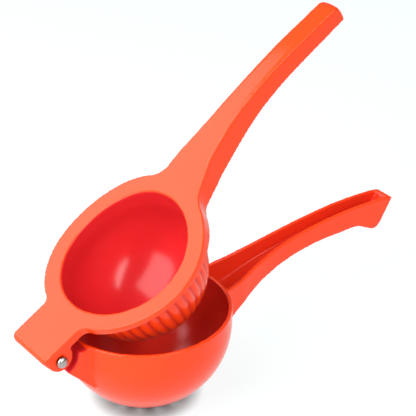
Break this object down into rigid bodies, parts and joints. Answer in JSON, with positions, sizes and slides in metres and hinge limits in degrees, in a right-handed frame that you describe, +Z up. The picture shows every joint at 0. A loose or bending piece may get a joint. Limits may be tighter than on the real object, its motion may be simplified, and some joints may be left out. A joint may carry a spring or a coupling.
{
  "type": "citrus press",
  "caption": "Hand citrus press: a round drained bowl and a ribbed press cup on two long curved handles, joined by a hinge at one end.",
  "frame": {"origin": "middle of the small flat foot under the bowl", "axes": "+Z up, square to the bowl's level rim; +X from the hinge across the bowl towards the handles; Y along the hinge rivet"},
  "size_m": [0.2497, 0.096, 0.2007],
  "materials": {
    "bowl_enamel": "glossy orange-red enamel on cast aluminium",
    "press_enamel": "glossy orange-red enamel on cast aluminium",
    "rivet_steel": "polished steel"
  },
  "bodies": {
    "bowl_side": {"bowl_lever": "bowl_enamel", "hinge_pin": "rivet_steel"},
    "press_side": {"press_lever": "press_enamel"}
  },
  "joints": [
    {"name": "press_hinge", "type": "hinge", "parent": "bowl_side", "child": "press_side", "pos_m": [-0.063, 0, 0.0552], "axis": [0, -1, 0], "range_deg": [-31, 75]}
  ]
}
